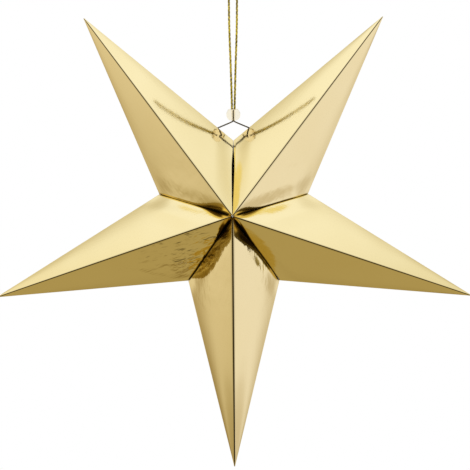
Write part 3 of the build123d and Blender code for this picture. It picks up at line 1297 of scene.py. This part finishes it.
@dataclass
class Hanger:
    """Cord loop that carries the star, and the thread that ties the open seam to the bead."""

    cord_finish: Material
    thread_finish: Material
    bead: Object
    plies: int = 3
    cord_diameter: float = 1.45 * MM
    cord_length: float = 163.0 * MM
    cord_lay: float = 8.4 * MM
    cord_samples: int = 700
    # Control points in millimetres, right and up from the hook
    cord_route: tuple[Range, ...] = (
        (-0.80, -79.7),
        (-1.35, -56.8),
        (-2.45, -27.8),
        (-2.60, -8.0),
        (-2.60, 0.7),
        (2.60, 0.7),
        (2.60, -8.0),
        (2.45, -27.8),
        (1.35, -56.8),
        (0.80, -79.7),
    )
    thread_diameter: float = 0.95 * MM
    thread_lay: float = 3.6 * MM
    thread_samples: int = 260
    # Control points in millimetres, in the part's frame
    thread_route: tuple[Triple, ...] = (
        (-12.50, 0.16, -91.95),
        (-9.66, 0.35, -90.75),
        (-1.2, 0.55, -87.2),
        (0.0, 0.55, -86.4),
        (0.0, 0.55, -84.0),
        (0.0, 0.55, -80.4),
        (0.0, -0.55, -80.4),
        (0.0, -0.55, -84.0),
        (0.0, -0.55, -86.4),
        (1.2, -0.55, -87.2),
        (9.66, -0.35, -90.75),
        (12.50, -0.16, -91.95),
    )

    def build(self) -> list[Object]:
        """Returns:
            Both pieces.
        """
        tree = TwistedYarn.tree()
        cord, cord_points = TwistedYarn(
            "gold_cord_loop",
            tuple((right * MM, 0.0, up * MM) for right, up in self.cord_route),
            self.cord_diameter,
            plies=self.plies,
            lay=self.cord_lay,
            samples=self.cord_samples,
            finish=self.cord_finish,
        ).build(tree)
        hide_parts("hanging_cord")
        thread, _ = TwistedYarn(
            "dark_tie_thread",
            tuple(tuple(value * MM for value in spot) for spot in self.thread_route),
            self.thread_diameter,
            plies=self.plies,
            lay=self.thread_lay,
            samples=self.thread_samples,
            finish=self.thread_finish,
        ).build(tree)
        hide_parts("tie_thread")
        return [cord, thread]


@dataclass(frozen=True)
class Softbox:
    """A soft light on the studio's walls, round a direction."""

    toward: Triple
    full_degrees: float
    fade_degrees: float
    colour: Colour


@dataclass(frozen=True)
class Flag:
    """A card that darkens the studio round a direction, for mirrors from a given bounce on."""

    toward: Triple
    full_degrees: float
    fade_degrees: float
    keep: Colour
    from_bounce: int = 1


@dataclass(frozen=True)
class Lamp:
    """A broad soft lamp for cord, thread and card, which no mirror shows."""

    name: str
    heading: Triple
    strength: float
    spread: float = math.radians(40.0)


@dataclass
class Studio:
    """Plain pale studio: camera, walls with soft lights, and a floor below the star."""

    camera_place: Triple = (0.019, -1.2, -0.1653)
    camera_target: Triple = (0.0008, 0.0, -0.15906)
    camera_roll: float = math.radians(-0.2)
    lens: float = 144.5
    sensor_width: float = 36.0
    lamps: tuple[Lamp, ...] = (
        Lamp("soft_front", (0.3, 1.0, -0.5), 0.3),
        Lamp("soft_left", (1.0, 0.1, -0.1), 1.8),
        Lamp("soft_right", (-1.0, 0.1, -0.1), 1.8),
    )
    even_light: float = 0.7
    floor_height: float = -0.46
    floor_half: float = 1.6
    walls: Colour = (0.46, 0.385, 0.19)
    softboxes: tuple[Softbox, ...] = (
        Softbox((0.0, 0.1, 1.0), 45.0, 100.0, (0.34, 0.40, 0.46)),
        Softbox((0.0, 0.15, 1.0), 31.0, 44.0, (0.28, 0.35, 0.58)),
        Softbox((1.0, 0.1, -0.03), 22.0, 55.0, (0.48, 0.56, 0.85)),
        Softbox((-0.978, 0.1, 0.2), 12.0, 48.0, (0.40, 0.42, 0.50)),
    )
    flags: tuple[Flag, ...] = (
        Flag((0.0, -1.0, 0.0), 40.0, 85.0, (0.5, 0.47, 0.42)),
        Flag((0.0, -1.0, 0.0), 83.0, 92.0, (0.12, 0.095, 0.045), from_bounce=2),
        Flag((1.0, -0.3, -0.3), 22.0, 32.0, (0.10, 0.085, 0.05), from_bounce=2),
        Flag((-1.0, -0.3, -0.3), 22.0, 32.0, (0.40, 0.36, 0.26), from_bounce=2),
        Flag((0.82, 0.2, -0.54), 9.5, 13.5, (0.76, 0.71, 0.6)),
        Flag((-0.82, 0.2, -0.54), 9.5, 13.5, (0.77, 0.73, 0.61)),
        Flag((0.0, -0.6, -0.8), 25.0, 42.0, (0.35, 0.33, 0.28)),
        Flag((0.0, 1.0, 0.0), 62.0, 75.0, (0.64, 0.58, 0.44)),
    )
    between_mirrors: Colour = (0.92, 0.82, 0.38)
    tinted_bounces: tuple[int, ...] = (2, 3, 4)
    backdrop: Softbox = Softbox((0.0, 1.0, 0.0), 42.0, 58.0, (1.0, 1.0, 1.0))

    def place_camera(self) -> None:
        """Stand the camera where the photograph was taken."""
        data = bpy.data.cameras.new("photo_camera")
        data.lens = self.lens
        data.sensor_width = self.sensor_width
        camera = new_object("photo_camera", data)
        camera.location = self.camera_place
        heading = Vector(self.camera_target) - Vector(self.camera_place)
        camera.rotation_mode = "QUATERNION"
        level = heading.to_track_quat("-Z", "Y")
        camera.rotation_quaternion = level @ Quaternion((0.0, 0.0, 1.0), self.camera_roll)
        bpy.context.scene.camera = camera

    @staticmethod
    def patch(graph: Graph, heading: Socket, patch: Softbox | Flag) -> Socket:
        """Soft round mask about a direction.

        Args:
            graph: The world's graph.
            heading: The direction that is looked up.
            patch: The light or card.

        Returns:
            1 in the patch, 0 outside it.
        """
        axis = Vector(patch.toward).normalized()
        facing = graph.vector("DOT_PRODUCT", heading, tuple(axis)).outputs["Value"]
        edges = [math.cos(math.radians(a)) for a in (patch.fade_degrees, patch.full_degrees)]
        return graph.map_range(facing, tuple(edges), (0.0, 1.0), smooth=True)

    @staticmethod
    def bounced(graph: Graph, depth: Socket, bounce: int) -> Socket:
        """1 for what mirrors show from a bounce on, 0 before it."""
        return graph.math("GREATER_THAN", depth, bounce - 0.5)

    @staticmethod
    def dimmed(graph: Graph, light: Socket, keep: Colour, where: Socket) -> Socket:
        """Darken the studio's light.

        Args:
            graph: The world's graph.
            light: The light so far.
            keep: The share of each colour that stays.
            where: 1 where the light is darkened, 0 where it stays.

        Returns:
            The darkened light.
        """
        loss = graph.scaled(tuple(share - 1.0 for share in keep), where)
        kept = graph.vector("ADD", loss, (1.0, 1.0, 1.0)).outputs[0]
        return graph.vector("MULTIPLY", light, kept).outputs[0]

    def light_world(self) -> None:
        """Make the studio's walls, white where the camera and clear plastic look past the star."""
        world = bpy.data.worlds.new("studio")
        world.use_nodes = True
        world.node_tree.nodes.clear()
        bpy.context.scene.world = world
        graph = Graph(world.node_tree)
        heading = graph.node("ShaderNodeTexCoord").outputs["Generated"]
        light: Socket | None = None
        for box in self.softboxes:
            glow = graph.scaled(box.colour, self.patch(graph, heading, box))
            before = self.walls if light is None else light
            light = graph.vector("ADD", glow, before).outputs[0]
        rays = graph.node("ShaderNodeLightPath").outputs
        for flag in self.flags:
            mask = self.patch(graph, heading, flag)
            if flag.from_bounce > 1:
                later = self.bounced(graph, rays["Glossy Depth"], flag.from_bounce)
                mask = graph.math("MULTIPLY", mask, later)
            light = self.dimmed(graph, light, flag.keep, mask)
        for bounce in self.tinted_bounces:
            later = self.bounced(graph, rays["Glossy Depth"], bounce)
            light = self.dimmed(graph, light, self.between_mirrors, later)
        behind = self.patch(graph, heading, self.backdrop)
        seen = graph.mix(behind, light, self.backdrop.colour)
        walls = graph.out("ShaderNodeBackground", {"Color": seen, "Strength": 1.0})
        level = graph.map_range(rays["Is Diffuse Ray"], (0.0, 1.0), (1.0, self.even_light))
        white = graph.out("ShaderNodeBackground", {"Color": WHITE, "Strength": level})
        past = graph.math("MAXIMUM", rays["Is Camera Ray"], rays["Is Transmission Ray"])
        even = graph.math("MAXIMUM", past, rays["Is Diffuse Ray"])
        mixed = graph.out("ShaderNodeMixShader", {0: even, 1: walls, 2: white})
        graph.node("ShaderNodeOutputWorld", {"Surface": mixed})

    def add_lamps(self) -> None:
        """Add the soft lamps."""
        for lamp in self.lamps:
            data = bpy.data.lights.new(lamp.name, "SUN")
            data.energy = lamp.strength
            data.angle = lamp.spread
            made = new_object(lamp.name, data)
            made.rotation_mode = "QUATERNION"
            made.rotation_quaternion = Vector(lamp.heading).to_track_quat("-Z", "Y")
            made.visible_glossy = False
            made.visible_transmission = False

    def lay_floor(self) -> None:
        """Lay a pale floor below the star, white to the camera apart from the star's shadow."""
        corners = ((-1, -1), (1, -1), (1, 1), (-1, 1))
        half, height = self.floor_half, self.floor_height
        mesh = bpy.data.meshes.new("studio_floor")
        mesh.from_pydata([(x * half, y * half, height) for x, y in corners], [], [(0, 1, 2, 3)])
        mesh.materials.append(FloorFinish().build())
        floor = new_object("studio_floor", mesh)
        floor.visible_glossy = False

    def build(self) -> None:
        """Set up the whole studio."""
        bpy.context.scene.view_settings.view_transform = "Standard"
        self.place_camera()
        self.light_world()
        self.add_lamps()
        self.lay_floor()


def main() -> None:
    """Build the studio, then the bead, the hanger and the star, and report each piece."""
    logging.basicConfig(level=logging.INFO, format="%(name)s: %(message)s")
    Studio().build()
    cord_finish = YarnFinish("gold_metallic_cord", (0.66, 0.51, 0.015), (0.16, 0.115, 0.004), 0.1)
    thread_finish = YarnFinish("dark_gold_thread", (0.16, 0.125, 0.05), (0.06, 0.045, 0.015), 0.35)
    bead = ClearBead(ClearPlasticFinish().build()).build()
    pieces = [bead, *Hanger(cord_finish.build(), thread_finish.build(), bead).build()]
    pieces.extend(PaperStar(FoilFinish().build(), PaperFinish().build()).build())
    for piece in pieces:
        piece.data.calc_loop_triangles()
        LOG.info("%s: %d triangles", piece.name, len(piece.data.loop_triangles))


if __name__ == "__main__":
    main()
